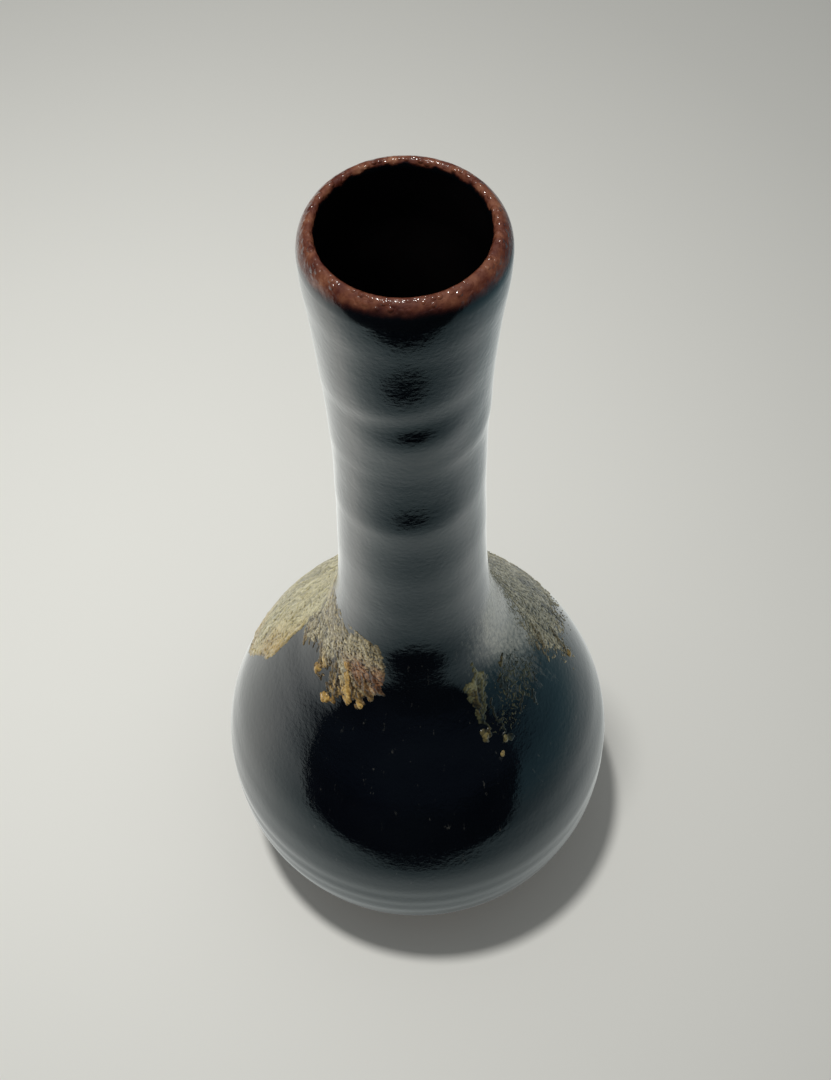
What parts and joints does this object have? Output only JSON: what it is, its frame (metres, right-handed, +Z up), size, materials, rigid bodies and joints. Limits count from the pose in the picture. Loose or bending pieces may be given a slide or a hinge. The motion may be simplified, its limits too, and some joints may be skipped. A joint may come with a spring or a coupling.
{
  "type": "sake bottle",
  "caption": "Crane-neck stoneware sake bottle with a round belly, a long open neck, a dark glaze with an iron-brown lip, and melted ash on the shoulder; it stands on a turned foot ring.",
  "frame": {"origin": "centre of the foot ring on the surface that the bottle stands on", "axes": "+Z up along the axis the bottle was thrown on; -Y is the front, with the pale ash to the left of it at -X"},
  "size_m": [0.09, 0.09, 0.215],
  "materials": {
    "bare_clay": "fine-grained fired stoneware, matt",
    "dark_glaze": "blue-black iron glaze, high gloss",
    "iron_lip": "thin rust-brown iron glaze, satin with fine sparkle",
    "liner_glaze": "dark brown-black glaze, glossy",
    "pale_ash": "pale straw ash crust, satin, streaked",
    "amber_ash": "beige to amber ash runs, semi-gloss",
    "speckled_ash": "broken beige and olive ash specks, satin",
    "olive_ash": "olive-yellow ash glass, semi-gloss",
    "ash_glass": "amber ash glass, glossy"
  },
  "bodies": {
    "root": {"foot_ring": "bare_clay", "clay_belly": "bare_clay", "clay_neck": "bare_clay", "outer_glaze": "dark_glaze", "lip_band": "iron_lip", "inner_glaze": "liner_glaze", "ash_left_shoulder": "pale_ash", "ash_front_left": "amber_ash", "ash_right_shoulder": "speckled_ash", "ash_front_right": "olive_ash", "ash_drops": "ash_glass"}
  },
  "joints": []
}
